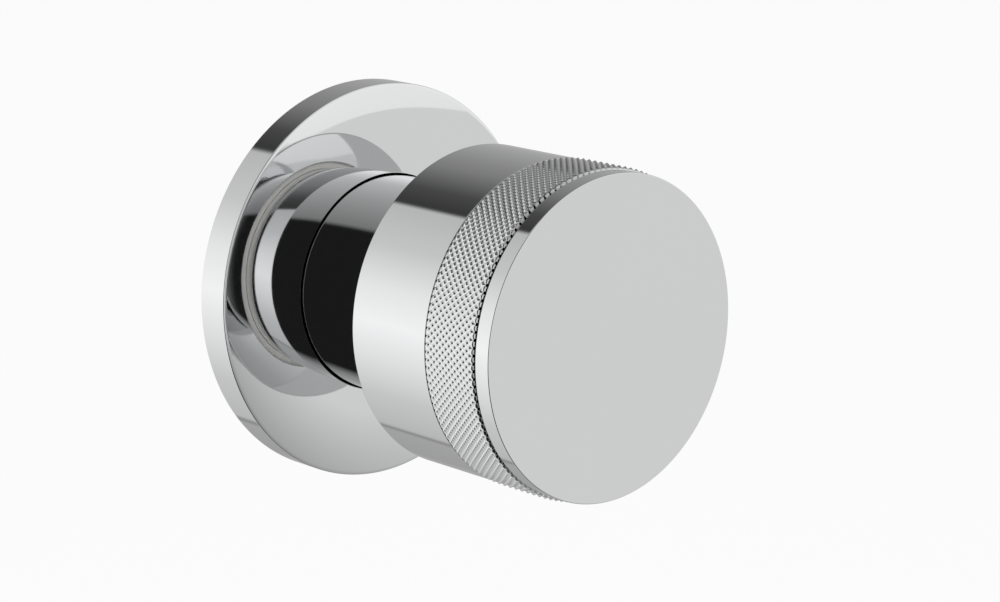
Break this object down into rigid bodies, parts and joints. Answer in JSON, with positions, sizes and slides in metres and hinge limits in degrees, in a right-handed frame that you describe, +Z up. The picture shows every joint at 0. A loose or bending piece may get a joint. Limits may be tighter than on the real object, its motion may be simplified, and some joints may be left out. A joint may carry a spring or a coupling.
{
  "type": "concealed stop valve",
  "caption": "Wall-mounted quarter-turn stop valve: round rose, plain neck and a round knob with a diamond-knurled band and a flat front cap, with its ceramic-disc headwork.",
  "frame": {"origin": "on the valve's axis, in the plane of the finished wall that the rose lies on", "axes": "-Y points out of the wall along the valve's axis, +Z is up, +X is to the right seen from the front"},
  "size_m": [0.07, 0.0877, 0.07],
  "materials": {
    "chrome": "polished",
    "brass": "machined",
    "rubber": "matt",
    "ceramic": "lapped",
    "plastic": "moulded",
    "steel": "plain"
  },
  "bodies": {
    "wall_parts": {"rose": "chrome", "rose_gasket": "rubber", "rose_seal": "rubber", "sleeve": "chrome", "sleeve_carrier": "brass", "carrier_seals": "rubber", "headwork_body": "brass", "headwork_seal": "rubber", "glide_washer": "plastic", "fixed_disc": "ceramic", "seat_seal": "rubber"},
    "knob_parts": {"spindle": "brass", "spindle_seals": "rubber", "moving_disc": "ceramic", "stop_washer": "steel", "circlip": "steel", "handle_adaptor": "brass", "handle_screw": "steel", "screw_washer": "steel", "knob": "chrome", "glide_ring": "plastic", "knurled_ring": "chrome", "front_cap": "chrome", "cap_seal": "rubber"}
  },
  "joints": [
    {"name": "knob_turn", "type": "hinge", "parent": "wall_parts", "child": "knob_parts", "pos_m": [0, 0, 0], "axis": [0, -1, 0], "range_deg": [0, 90]}
  ]
}
